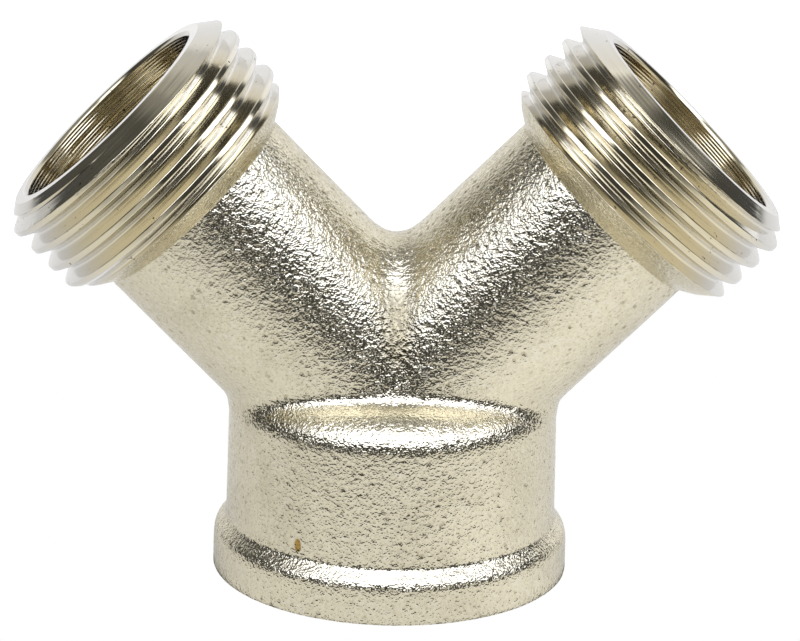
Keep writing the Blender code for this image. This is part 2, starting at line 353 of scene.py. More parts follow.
def forged_body():
    voxel = 0.14
    shape = [(0.0, 18.8), (10.8, 18.8), (14.0, 17.9), (15.1, 16.2), (15.3, 6.0), (15.4, 5.2), (16.2, 3.4), (RIM_R, 2.0), (RIM_R, -2.0), (0.0, -2.0)]
    body = turned("forged_body", shape, 128)
    for sign in (-1, 1):
        arm = turned("arm", [(0.0, 30.0), (ARM_R, 30.0), (ARM_R, 0.0), (8.0, -6.0), (0.0, -9.0)], 128)
        arm.data.transform(arm_matrix(sign))
        cut(body, arm, "UNION")
    remesh = body.modifiers.new("remesh", "REMESH")
    remesh.mode = "VOXEL"
    remesh.voxel_size = voxel
    applied(body)
    mesh = body.data
    p = points_of(mesh)
    edges = np.zeros(len(mesh.edges) * 2, np.int32)
    mesh.edges.foreach_get("vertices", edges)
    edges = edges.reshape(-1, 2)
    count = np.bincount(edges.ravel(), minlength=len(p))[:, None]
    s = np.stack([(p - (0, 0, ROOT_Z)) @ (k * math.sin(ARM), 0.0, math.cos(ARM)) for k in (-1, 1)], -1).max(1)
    free = (p[:, 2] > -1.6) & (s < 29.6)  # the flat ends are cut away later
    p[free] = on_surface(p[free], 2)
    for _ in range(3):
        near = np.zeros_like(p)
        for n in range(3):
            near[:, n] = np.bincount(edges[:, 0], p[edges[:, 1], n], len(p)) + np.bincount(edges[:, 1], p[edges[:, 0], n], len(p))
        p[free] = 0.5 * (p + near / count)[free]
        p[free] = on_surface(p[free], 1)
    out = gradient(p[free])
    p[free] += out * forged_grain(p[free], out)[:, None]
    mesh.vertices.foreach_set("co", p.astype(np.float32).ravel())
    mesh.update()

    # the machined bottom, the two outlet heads and the waterway are cut from it
    box = turned("tool", [(0.0, 0.10), (40.0, 0.10), (40.0, -9.0), (0.0, -9.0)], 64)
    cut(body, box)
    waterway = turned(
        "tool",
        [(0.0, 21.5), (PORT_R, 18.5), (PORT_R, SEAT_Z + 0.5), (INSERT_R - 0.1, SEAT_Z + 0.5), (INSERT_R - 0.1, -2.0), (0.0, -2.0)],
        180,
    )
    for sign in (-1, 1):
        bore = turned(
            "bore",
            [(0.0, 34.0), (24.0, 34.0), (24.0, HEAD_S), (9.3, HEAD_S), (9.3, 20.2), (ARM_BORE_R, 20.2), (ARM_BORE_R, 1.0), (ARM_BORE_R - 2.0, -1.0), (0.0, -1.0)],
            180,
        )
        bore.data.transform(arm_matrix(sign))
        cut(waterway, bore, "UNION")
    cut(body, waterway)
    # how far each point stands over the ideal skin: drives the colour of the pits, part plating tone and part painted
    # shade, and the polish of the peaks
    mesh = body.data
    relief = forged_distance(points_of(mesh))
    skin = np.abs(relief) < 0.16
    height = mesh.attributes.new("relief", "FLOAT", "POINT")
    height.data.foreach_set("value", np.where(skin, relief, 0.0).astype(np.float32))
    corners = np.zeros(len(mesh.loops), np.int32)
    mesh.loops.foreach_get("vertex_index", corners)
    starts = np.zeros(len(mesh.polygons), np.int32)
    mesh.polygons.foreach_get("loop_start", starts)
    bored = np.minimum.reduceat(skin[corners].astype(np.int32), starts) == 0
    mesh.polygons.foreach_set("material_index", bored.astype(np.int32))
    mesh.shade_smooth()
    mesh.set_sharp_from_angle(angle=math.radians(52.0))
    mesh.transform(Matrix.Scale(MM, 4))
    return body


# ---------------------------------------------------------------- outlet heads with their cut threads
def outlet_radius(s, t, side, wear=1.0):
    """Outer radius of an outlet head at distance s along it and angle t, and how much of it is still forged skin."""
    seed = 100 if side == "left" else 200
    around = np.stack([MAJOR_R * np.cos(t), MAJOR_R * np.sin(t), s], -1).reshape(-1, 3)
    wobble = wear * gradient_noise(around, 2.6, seed).reshape(s.shape)
    chips = wear * gradient_noise(around, 0.55, seed + 1).reshape(s.shape)
    skin = wear * gradient_noise(around, 0.7, seed + 2).reshape(s.shape)

    u = (s - GROOVE[side] - PITCH * t / math.tau + PITCH / 2.0) % PITCH - PITCH / 2.0
    flank = MINOR_R + (np.abs(u) - PITCH / 16.0) / TAN30
    thread = soft_max(flank, np.full_like(s, MINOR_R), 0.16)
    thread = soft_min(thread, np.full_like(s, MAJOR_R), 0.10)
    worn = np.exp(-(((np.abs(u) - 0.86) / 0.10) ** 2))
    thread = thread - 0.020 * worn * np.maximum(chips, 0.0)

    back = np.interp(s, [26.3, 26.75, 27.0, 27.35, 27.9, 29.35, 31.0], [9.95, 10.33, 10.60, 11.15, 11.95, 13.494, 15.2])
    back = back + 0.030 * skin + 0.05 * wobble
    burr = 0.05 * np.exp(-(((s - 29.33 - 0.05 * wobble) / 0.06) ** 2)) * smoothstep(chips + wobble, -0.1, 0.35)
    groove_free = smoothstep(thread, MAJOR_R - 0.05, MAJOR_R)
    forged = smoothstep(thread - back, 0.0, 0.08)
    radius = soft_min(thread + burr * groove_free, back, 0.07)
    edge = MOUTH_S - LIP_S
    nicks = wear * gradient_noise(around, 0.34, seed + 3).reshape(s.shape)
    radius = radius - 0.05 * np.exp(-(((s - edge + 0.05) / 0.16) ** 2)) * np.maximum(nicks, 0.0)
    turning = np.stack([1.3 * np.cos(t), 1.3 * np.sin(t), s * 4.2], -1).reshape(-1, 3)
    streak = wear * gradient_noise(turning, 1.0, seed + 4).reshape(s.shape)
    chamfer = LIP_R + (MOUTH_S - s) * (MAJOR_R - LIP_R) / LIP_S + 0.012 * wobble + 0.014 * streak
    radius = soft_min(radius, chamfer, 0.05)
    return radius, forged


def bore_radius(s, t, seed):
    """The mouth bore, with the helical marks of the boring bar."""
    around = np.stack([2.2 * np.cos(t), 2.2 * np.sin(t), s * 1.6], -1).reshape(-1, 3)
    chatter = gradient_noise(around, 1.0, seed).reshape(s.shape)
    run = np.stack([0.8 * np.cos(t), 0.8 * np.sin(t), s * 1.9], -1).reshape(-1, 3)
    streak = gradient_noise(run, 1.0, seed + 1).reshape(s.shape)
    mark = np.sin(math.tau * (s / BORE_FEED + t / math.tau))
    return MOUTH_BORE_R + 0.0085 * mark * (1.0 + 1.3 * chatter) + 0.022 * streak


def outlet_head(side):
    sign = -1 if side == "left" else 1
    around = 280
    step = 0.065
    t = np.arange(around) * math.tau / around

    def with_normals(rows, radius_of, outside):
        """Radii on a grid of rows and angles, and the exact normals of that surface."""
        S, T = np.meshgrid(rows, t, indexing="ij")
        h = 0.008
        along = (radius_of(S + h, T) - radius_of(S - h, T)) / (2 * h)
        radius = radius_of(S, T)
        turn = (radius_of(S, T + h / radius.mean()) - radius_of(S, T - h / radius.mean())) / (2 * h)
        normal = np.stack([np.cos(T) + np.sin(T) * turn, np.sin(T) - np.cos(T) * turn, -along], -1)
        normal /= np.linalg.norm(normal, axis=-1, keepdims=True) * outside
        return S, radius, normal

    outer_s = np.concatenate([np.arange(26.3, 36.0, step), np.arange(36.0, MOUTH_S - 0.012, step * 0.62), [MOUTH_S - 0.012]])
    S, radius, normal = with_normals(outer_s, lambda u, v: outlet_radius(u, v, side)[0], 1.0)
    forged = outlet_radius(S, np.repeat(t[None], len(S), 0), side)[1]
    ideal = outlet_radius(S, np.repeat(t[None], len(S), 0), side, 0.0)[0]

    # the flat face and its burnished inner edge, then the bore, the drill cone and a tail inside the arm
    face = np.array(
        [(MOUTH_S, LIP_R - 0.02), *[(MOUTH_S, r) for r in np.linspace(LIP_R - 0.06, 10.50, 6)], (MOUTH_S - 0.005, 10.462), (MOUTH_S - 0.03, 10.425), (MOUTH_S - 0.28, 10.19)]
    )
    bore_s = np.arange(MOUTH_S - 0.34, MOUTH_BORE_S + 0.05, -BORE_FEED / (5.0))
    B, bore, bore_normal = with_normals(bore_s, lambda u, v: bore_radius(u, v, 500 if side == "left" else 600), -1.0)
    tail = np.array(
        [
            *zip(np.linspace(MOUTH_BORE_S, MOUTH_BORE_S - 1.9, 8), np.linspace(MOUTH_BORE_R, ARM_BORE_R, 8)),
            *[(s, ARM_BORE_R + 0.006 * math.sin(s * 9.0)) for s in np.linspace(27.2, 20.0, 24)],
            (19.9, 8.4),
            (19.9, 9.3),
            (20.0, 9.4),
            (25.0, 9.4),
            (26.2, 9.5),
        ]
    )
    flat = lambda rows, column: np.repeat(rows[:, column : column + 1], around, 1)
    rows_s = np.concatenate([S, flat(face, 0), B, flat(tail, 0)])
    rows_r = np.concatenate([radius, flat(face, 1), bore, flat(tail, 1)])
    T2 = np.repeat(t[None], len(rows_s), 0)
    points = np.stack([rows_r * np.cos(T2), rows_r * np.sin(T2), rows_s], -1).reshape(-1, 3)
    matrix = arm_matrix(sign)
    rot = np.array(matrix.to_3x3())
    world = points @ rot.T + np.array(matrix.translation)

    faces = wrap_faces(len(rows_s), around)
    mesh = mesh_from(f"{side}_outlet_thread", world * MM, faces)
    bm = bmesh.new()
    bm.from_mesh(mesh)
    if bm.calc_volume(signed=True) < 0:
        bmesh.ops.reverse_faces(bm, faces=bm.faces)
        bm.to_mesh(mesh)
    bm.free()
    normals = np.zeros((len(rows_s), around, 3))
    normals[: len(S)] = normal @ rot.T
    normals[len(S) + len(face) : len(S) + len(face) + len(B)] = bore_normal @ rot.T
    mesh.set_sharp_from_angle(angle=math.radians(55.0))
    mesh.normals_split_custom_set_from_vertices(normals.reshape(-1, 3).tolist())

    skin = np.zeros(rows_s.shape)
    skin[: len(S)] = forged
    even = rows_r.copy()
    even[: len(S)] = ideal
    even[len(S) + len(face) : len(S) + len(face) + len(B)] = MOUTH_BORE_R
    lathe = mesh.attributes.new("lathe", "FLOAT_VECTOR", "POINT")
    lathe.data.foreach_set("vector", np.stack([rows_s + 1.7 * even, 2 * np.cos(T2), 2 * np.sin(T2)], -1).astype(np.float32).ravel())
    corners = np.zeros(len(mesh.loops), np.int32)
    mesh.loops.foreach_get("vertex_index", corners)
    kind = (skin.ravel()[corners].reshape(-1, 4).mean(1) > 0.5).astype(np.int32)
    inside = np.zeros(rows_s.shape)
    inside[len(S) + len(face) - 1 :] = 1.0
    kind[inside.ravel()[corners].reshape(-1, 4).mean(1) > 0.99] = 2
    mesh.polygons.foreach_set("material_index", kind)
    return add_object(f"{side}_outlet_thread", mesh)


# ---------------------------------------------------------------- inlet thread, seat and machined bottom
def inlet_thread():
    around = 300
    t = np.arange(around) * math.tau / around
    z = np.arange(1.15, RELIEF_Z + 0.4, 0.055)
    Z, T = np.meshgrid(z, t, indexing="ij")
    spot = np.stack([13.0 * np.cos(T), 13.0 * np.sin(T), Z], -1).reshape(-1, 3)
    chips = gradient_noise(spot, 0.6, 301).reshape(Z.shape)
    u = (Z + 2.3 - PITCH * T / math.tau + PITCH / 2.0) % PITCH - PITCH / 2.0
    flank = FEMALE_MAJOR_R - (np.abs(u) - PITCH / 16.0) / TAN30
    thread = soft_min(flank, np.full_like(Z, FEMALE_MAJOR_R), 0.12)
    thread = soft_max(thread, np.full_like(Z, FEMALE_MINOR_R), 0.10) + 0.012 * np.maximum(chips, 0.0)
    mouth = FEMALE_MINOR_R + (1.7 - Z)
    relief = np.interp(Z, [RELIEF_Z - 0.5, RELIEF_Z, RELIEF_Z + 0.8], [11.5, FEMALE_MINOR_R, RELIEF_R])
    thread = soft_max(soft_max(thread, mouth, 0.08), relief, 0.10)
    above = [(RELIEF_R, zz) for zz in np.linspace(RELIEF_Z + 0.6, SEAT_Z - 0.08, 8)]
    seat = [(r, SEAT_Z) for r in np.linspace(RELIEF_R - 0.08, PORT_R + 0.12, 22)]
    hidden = [(PORT_R, SEAT_Z + 0.12), (PORT_R, SEAT_Z + 0.3), (INSERT_R, SEAT_Z + 0.6), (INSERT_R, 8.0), (INSERT_R, 1.4), (16.1, 0.5)]
    rim = RIM_R - 0.10
    bottom = [(rim, 0.30), (rim, 0.12), (rim - 0.05, 0.03), (rim - 0.14, 0.0), *[(r, 0.0) for r in np.linspace(16.1, 14.15, 12)]]
    mouth_rows = [(FEMALE_MINOR_R + 1.7 + 0.06, 0.02), (FEMALE_MINOR_R + 1.7 - 0.02, 0.08), (FEMALE_MINOR_R + 0.95, 0.75), (FEMALE_MINOR_R + 0.7, 1.0)]
    extra = np.array([*above, *seat, *hidden, *bottom, *mouth_rows])
    rows_r = np.concatenate([thread, np.repeat(extra[:, :1], around, 1)])
    rows_z = np.concatenate([Z, np.repeat(extra[:, 1:], around, 1)])
    T2 = np.repeat(t[None], len(rows_z), 0)
    points = np.stack([rows_r * np.cos(T2), rows_r * np.sin(T2), rows_z], -1).reshape(-1, 3)
    mesh = mesh_from("inlet_thread", points, wrap_faces(len(rows_z), around))
    outward(mesh)
    lathe = mesh.attributes.new("lathe", "FLOAT_VECTOR", "POINT")
    lathe.data.foreach_set("vector", np.stack([rows_z + 1.7 * rows_r, 2 * np.cos(T2), 2 * np.sin(T2)], -1).astype(np.float32).ravel())
    mesh.shade_smooth()
    mesh.set_sharp_from_angle(angle=math.radians(35.0))
    mesh.transform(Matrix.Scale(MM, 4))
    return add_object("inlet_thread", mesh)


# ---------------------------------------------------------------- sealing washer
def washer():
    low_z, high_z = washer_low.z / MM, washer_high.z / MM
    outer = (washer_high.x - washer_low.x) / 2 / MM
    inner = 8.5
    around = 260
    edge = 0.32
    corners = [(outer, high_z, 0), (outer, low_z, 1), (inner, low_z, 2), (inner, high_z, 3)]
    outline = []
    for r, zz, k in corners:
        cr = r - edge if r == outer else r + edge
        cz = zz - edge if zz == high_z else zz + edge
        start = (math.pi / 2, 0.0, -math.pi / 2, math.pi)[k]
        outline += [(cr + edge * math.cos(start - a), cz + edge * math.sin(start - a)) for a in np.linspace(0, math.pi / 2, 7)]
        nxt = corners[(k + 1) % 4]
        n = 14 if k % 2 else 8
        end = (
            (cr + edge * math.cos(start - math.pi / 2), cz + edge * math.sin(start - math.pi / 2)),
            (
                (nxt[0] - edge if nxt[0] == outer else nxt[0] + edge) + edge * math.cos((math.pi / 2, 0.0, -math.pi / 2, math.pi)[(k + 1) % 4]),
                (nxt[1] - edge if nxt[1] == high_z else nxt[1] + edge) + edge * math.sin((math.pi / 2, 0.0, -math.pi / 2, math.pi)[(k + 1) % 4]),
            ),
        )
        for f in np.linspace(0, 1, n)[1:-1]:
            outline.append((end[0][0] * (1 - f) + end[1][0] * f, end[0][1] * (1 - f) + end[1][1] * f))
    outline = np.array(outline)
    t = np.arange(around) * math.tau / around
    R = np.repeat(outline[:, :1], around, 1)
    Z = np.repeat(outline[:, 1:], around, 1)
    T = np.repeat(t[None], len(outline), 0)
    p = np.stack([R * np.cos(T), R * np.sin(T), Z], -1).reshape(-1, 3)
    centre = np.stack([10.25 * np.cos(T), 10.25 * np.sin(T), np.full_like(T, (low_z + high_z) / 2)], -1).reshape(-1, 3)
    away = p - centre
    away /= np.linalg.norm(away, axis=1, keepdims=True)
    # a moulded ring: slightly uneven, with the faint ring that the inlet seat has pressed into it
    seat_mark = np.exp(-(((np.hypot(p[:, 0], p[:, 1]) - 9.0) / 0.18) ** 2)) * (p[:, 2] > high_z - 0.2)
    p += away * (0.02 * gradient_noise(p, 1.6, 401) + 0.008 * gradient_noise(p, 0.5, 402) - 0.03 - 0.03 * seat_mark)[:, None]
    mesh = mesh_from("washer_ring", p, wrap_faces(len(outline), around))
    outward(mesh)
    mesh.shade_smooth()
    mesh.transform(Matrix.Scale(MM, 4))
    return add_object("washer_ring", mesh)


# ---------------------------------------------------------------- materials
class Nodes:
    def __init__(self, tree):
        self.tree = tree

    def add(self, kind, inputs=None, **settings):
        node = self.tree.nodes.new(kind)
        for key, value in settings.items():
            setattr(node, key, value)
        for key, value in (inputs or {}).items():
            self.put(node.inputs[key], value)
        return node

    def put(self, socket, value):
        if isinstance(value, bpy.types.NodeSocket):
            self.tree.links.new(value, socket)
        else:
            socket.default_value = value

    def math(self, operation, a, b=0.0, c=None, clamp=False):
        node = self.add("ShaderNodeMath", operation=operation, use_clamp=clamp)
        for socket, value in zip(node.inputs, (a, b) if c is None else (a, b, c)):
            self.put(socket, value)
        return node.outputs[0]

    def ramp(self, value, low, high, to_low=0.0, to_high=1.0, smooth=True):
        node = self.add(
            "ShaderNodeMapRange",
            {"Value": value, "From Min": low, "From Max": high, "To Min": to_low, "To Max": to_high},
            interpolation_type="SMOOTHSTEP" if smooth else "LINEAR",
        )
        return node.outputs["Result"]

    def colour_mix(self, factor, a, b):
        node = self.add("ShaderNodeMix", data_type="RGBA")
        self.put(node.inputs[0], factor)
        self.put(node.inputs[6], a)
        self.put(node.inputs[7], b)
        return node.outputs[2]

    def value_mix(self, factor, a, b):
        node = self.add("ShaderNodeMix", data_type="FLOAT")
        self.put(node.inputs[0], factor)
        self.put(node.inputs[2], a)
        self.put(node.inputs[3], b)
        return node.outputs[0]

    def noise(self, vector, scale, detail=2.0, roughness=0.5, distortion=0.0):
        return self.add(
            "ShaderNodeTexNoise",
            {"Vector": vector, "Scale": scale, "Detail": detail, "Roughness": roughness, "Distortion": distortion},
        ).outputs[0]

    def voronoi(self, vector, scale, feature="F1", randomness=1.0, smoothness=None):
        inputs = {"Vector": vector, "Scale": scale, "Randomness": randomness}
        node = self.add("ShaderNodeTexVoronoi", feature=feature)
        for key, value in inputs.items():
            self.put(node.inputs[key], value)
        if smoothness is not None:
            self.put(node.inputs["Smoothness"], smoothness)
        return node

    def bump(self, height, distance, strength=1.0, normal=None):
        node = self.add("ShaderNodeBump", {"Height": height, "Distance": distance, "Strength": strength})
        if normal is not None:
            self.put(node.inputs["Normal"], normal)
        return node.outputs[0]


def new_material(name):
    mat = bpy.data.materials.new(name)
    mat.use_nodes = True
    mat.node_tree.nodes.clear()
    n = Nodes(mat.node_tree)
    bsdf = n.add("ShaderNodeBsdfPrincipled")
    out = n.add("ShaderNodeOutputMaterial", {"Surface": bsdf.outputs[0]})
    return mat, n, bsdf


def mm_coords(n):
    return n.add(
        "ShaderNodeVectorMath", {0: n.add("ShaderNodeTexCoord").outputs["Object"], 1: (1000.0,) * 3}, operation="MULTIPLY"
    ).outputs[0]


PALE = (0.780, 0.722, 0.552, 1.0)
# DEEP is the dark tone of the forged skin: its streaks and blotches, and partly painted shade in the pits and hollows
DEEP = (0.310, 0.260, 0.165, 1.0)
CUT = (0.770, 0.702, 0.515, 1.0)
CUT_DEEP = (0.640, 0.560, 0.370, 1.0)


def forged_material():
    """Blasted and nickel-plated: bright rounded peaks, duller yellow-brown in the pits (part plating tone, part painted
    shade), and painted shade down the crease between the arms.
    """
    mat, n, bsdf = new_material("nickel_forged")
    p = mm_coords(n)
    relief = n.add("ShaderNodeAttribute", attribute_name="relief").outputs["Fac"]
    grit = n.noise(p, 3.3, 1.0, 0.62)
    fine = n.noise(p, 7.5, 0.0, 0.5)
    height = n.math("ADD", n.math("MULTIPLY", grit, 1.0), n.math("MULTIPLY", fine, 0.22))
    # the pits and the low spots of the bump are darker and browner: partly the plating's own tone, partly painted shade
    # in the hollows
    low = n.ramp(relief, -0.014, -0.046)
    mottle = n.ramp(grit, 0.64, 0.34, 0.0, 0.15)
    lean = n.add("ShaderNodeMapping", {"Vector": p, "Rotation": (0.0, 0.5, 0.0), "Scale": (0.72, 1.0, 1.0)}).outputs[0]
    dark = n.ramp(n.noise(lean, 4.9, 1.0, 0.5), 0.39, 0.28, 0.0, 0.42)
    blotch = n.ramp(n.noise(p, 0.16, 2.0, 0.55), 0.42, 0.75, 0.0, 0.16)
    tone = n.math("ADD", n.math("ADD", n.math("MULTIPLY", low, 0.40), n.math("ADD", dark, mottle)), blotch, clamp=True)
    where = n.add("ShaderNodeSeparateXYZ", {0: p})
    # painted shade down the crease between the arms, from about 20.5 to 30.6 mm up
    painted_crease_shade = n.math("MULTIPLY", n.ramp(n.math("ABSOLUTE", where.outputs[0]), 2.7, 0.4), n.ramp(where.outputs[2], 20.5, 23.6, 0.0, 0.88))
    painted_crease_shade = n.math("MULTIPLY", painted_crease_shade, n.ramp(where.outputs[2], 30.6, 26.8))
    worn = n.ramp(relief, 0.010, 0.030)
    colour = n.colour_mix(n.math("MULTIPLY", worn, 0.40), n.colour_mix(tone, PALE, DEEP), (0.82, 0.78, 0.66, 1.0))
    crease_shade_colour = n.colour_mix(n.ramp(grit, 0.66, 0.38), (0.355, 0.308, 0.186, 1.0), (0.175, 0.150, 0.092, 1.0))
    colour = n.colour_mix(painted_crease_shade, colour, crease_shade_colour)  # painted shade: the crease between the arms is darkened in the colour
    rough = n.math("ADD", n.ramp(n.noise(p, 0.5, 2.0), 0.3, 0.7, 0.11, 0.16), n.math("MULTIPLY", tone, 0.12))
    away = n.add("ShaderNodeVectorMath", {0: p, 1: NICK}, operation="SUBTRACT").outputs[0]
    away = n.add("ShaderNodeVectorMath", {0: away, 1: (1.0, 1.0, 0.55)}, operation="MULTIPLY").outputs[0]
    bare = n.ramp(n.add("ShaderNodeVectorMath", {0: away}, operation="LENGTH").outputs["Value"], 0.40, 0.30)
    n.put(bsdf.inputs["Metallic"], 1.0)
    n.put(bsdf.inputs["Base Color"], n.colour_mix(bare, colour, (0.42, 0.27, 0.08, 1.0)))
    n.put(bsdf.inputs["Roughness"], rough)
    n.put(bsdf.inputs["Normal"], n.bump(height, 0.092 * MM))
    return mat


def machined_material(bored=False):
    """Turned surfaces: fine rings from the tool, a few dark specks where the plating is thin."""
    mat, n, bsdf = new_material("nickel_bored" if bored else "nickel_machined")
    p = mm_coords(n)
    lathe = n.add("ShaderNodeSeparateXYZ", {0: n.add("ShaderNodeAttribute", attribute_name="lathe").outputs["Vector"]})

    def rings(along, around, offset, detail):
        at = n.add(
            "ShaderNodeCombineXYZ",
            {
                0: n.math("MULTIPLY", lathe.outputs[0], along),
                1: n.math("MULTIPLY_ADD", lathe.outputs[1], around, offset),
                2: n.math("MULTIPLY", lathe.outputs[2], around),
            },
        ).outputs[0]
        return n.noise(at, 1.0, detail, 0.55)

    fine = rings(9.0, 0.9, 0.0, 1.0)
    broad = rings(2.6, 0.55, 7.3, 1.0)
    height = n.math("ADD", n.math("MULTIPLY", fine, 0.22), n.math("MULTIPLY", broad, 0.30))
    speck = n.ramp(n.noise(p, 2.1, 1.0, 0.5), 0.735, 0.775)
    side = n.ramp(n.add("ShaderNodeSeparateXYZ", {0: p}).outputs[0], 12.0, 30.0, 0.0, 0.35)
    thin = n.math("ADD", n.ramp(broad, 0.35, 0.75, 0.0, 0.40), side, clamp=True)
    colour = n.colour_mix(thin, CUT, CUT_DEEP)
    edge_on = n.ramp(n.add("ShaderNodeLayerWeight", {"Blend": 0.5}).outputs["Facing"], 0.22, 0.78, 0.0, 0.9)
    colour = n.colour_mix(edge_on, colour, (0.79, 0.78, 0.765, 1.0))
    if bored:  # the plating is thin down the bore, and the boring marks show brown and bright
        lines = rings(3.6, 0.45, 3.1, 2.0)
        height = n.math("ADD", height, n.math("MULTIPLY", lines, 1.5))
        colour = n.colour_mix(n.ramp(lines, 0.56, 0.40, 0.0, 0.50), colour, (0.40, 0.31, 0.16, 1.0))
    colour = n.colour_mix(speck, colour, (0.12, 0.095, 0.06, 1.0))
    n.put(bsdf.inputs["Metallic"], 1.0)
    n.put(bsdf.inputs["Base Color"], colour)
    n.put(bsdf.inputs["Roughness"], n.math("ADD", n.ramp(fine, 0.3, 0.7, 0.09, 0.16), n.math("MULTIPLY", speck, 0.2)))
    n.put(bsdf.inputs["Normal"], n.bump(height, 0.0115 * MM))
    return mat


def rubber_material():
    mat, n, bsdf = new_material("black_rubber")
    p = mm_coords(n)
    grain = n.noise(p, 7.0, 3.0, 0.6)
    mottle = n.noise(p, 0.7, 2.0, 0.5)
    dust = n.ramp(n.noise(p, 3.2, 4.0, 0.65), 0.58, 0.72)
    n.put(bsdf.inputs["Base Color"], n.colour_mix(n.math("MULTIPLY", dust, 0.35), n.colour_mix(mottle, (0.018, 0.018, 0.019, 1), (0.034, 0.034, 0.036, 1)), (0.10, 0.098, 0.09, 1)))
    n.put(bsdf.inputs["Roughness"], n.ramp(mottle, 0.3, 0.7, 0.52, 0.72))
    n.put(bsdf.inputs["Specular IOR Level"], 0.42)
    n.put(bsdf.inputs["Normal"], n.bump(grain, 0.03 * MM, 0.8))
    return mat


# ---------------------------------------------------------------- studio
def sky():
    """A soft studio round the object: pale behind, a box each side, one over the front and a dark camera side."""
    world = bpy.data.worlds.new("studio")
    bpy.context.scene.world = world
    world.use_nodes = True
    world.node_tree.nodes.clear()
    n = Nodes(world.node_tree)
    d = n.add("ShaderNodeSeparateXYZ", {0: n.add("ShaderNodeTexCoord").outputs["Generated"]})
    el = n.math("MULTIPLY", n.math("ARCSINE", d.outputs[2]), 180 / math.pi)
    az = n.math("MULTIPLY", n.math("ARCTAN2", d.outputs[0], n.math("MULTIPLY", d.outputs[1], -1.0)), 180 / math.pi)
    light = None

    def box(az0, az1, el0, el1, value, soft_az=5.0, soft_el=5.0):
        """Lays a soft-edged panel over what is there; az1 may pass 180."""
        nonlocal light
        middle, half = (az0 + az1) / 2, (az1 - az0) / 2
        off = n.math("SUBTRACT", az, middle)
        off = n.math("ABSOLUTE", n.math("WRAP", off, 180.0, -180.0))
        a = n.ramp(off, half + soft_az / 2, half - soft_az / 2)
        b = n.ramp(el, el0 - soft_el / 2, el0 + soft_el / 2)
        c = n.ramp(el, el1 + soft_el / 2, el1 - soft_el / 2)
        light = n.value_mix(n.math("MULTIPLY", n.math("MULTIPLY", a, b), c), light, value)

    light = n.add("ShaderNodeValue").outputs[0]
    light.default_value = 0.26
    box(148, 180, -90, 74, 0.92, 6, 8)
    box(118, 152, -90, 50, 1.08, 6, 8)
    box(-180, -163, -90, 60, 0.90, 6, 8)
    box(-165, -125, -90, 56, 0.62, 8, 8)
    box(-170, -146, -90, 20, 1.05, 8, 8)
    box(-80, 80, 68, 100, 0.92, 20, 6)
    box(-125, 125, -90, 24, 0.05, 6, 6)
    box(100, 121, -90, 52, 0.07, 9, 8)
    box(-120, -91, -90, 52, 0.08, 16, 8)
    box(43, 97, 24, 50, 2.25, 6, 4)
    box(-80, -36, 24, 44, 1.90, 7, 4)
    box(-60, 60, 28, 74, 2.50, 12, 6)
    tint = n.colour_mix(n.ramp(light, 0.9, 2.0), (1.0, 1.0, 1.0, 1.0), (0.93, 0.98, 1.16, 1.0))  # the lamps are cooler
    background = n.add("ShaderNodeBackground", {"Color": tint, "Strength": light})
    seen = n.add("ShaderNodeBackground", {"Color": (1.0, 1.0, 1.0, 1.0), "Strength": 1.0})
    mix = n.add("ShaderNodeMixShader", {0: n.add("ShaderNodeLightPath").outputs["Is Camera Ray"], 1: background.outputs[0], 2: seen.outputs[0]})
    n.add("ShaderNodeOutputWorld", {0: mix.outputs[0]})
    world.cycles.sampling_method = "MANUAL"
    world.cycles.sample_map_resolution = 1024


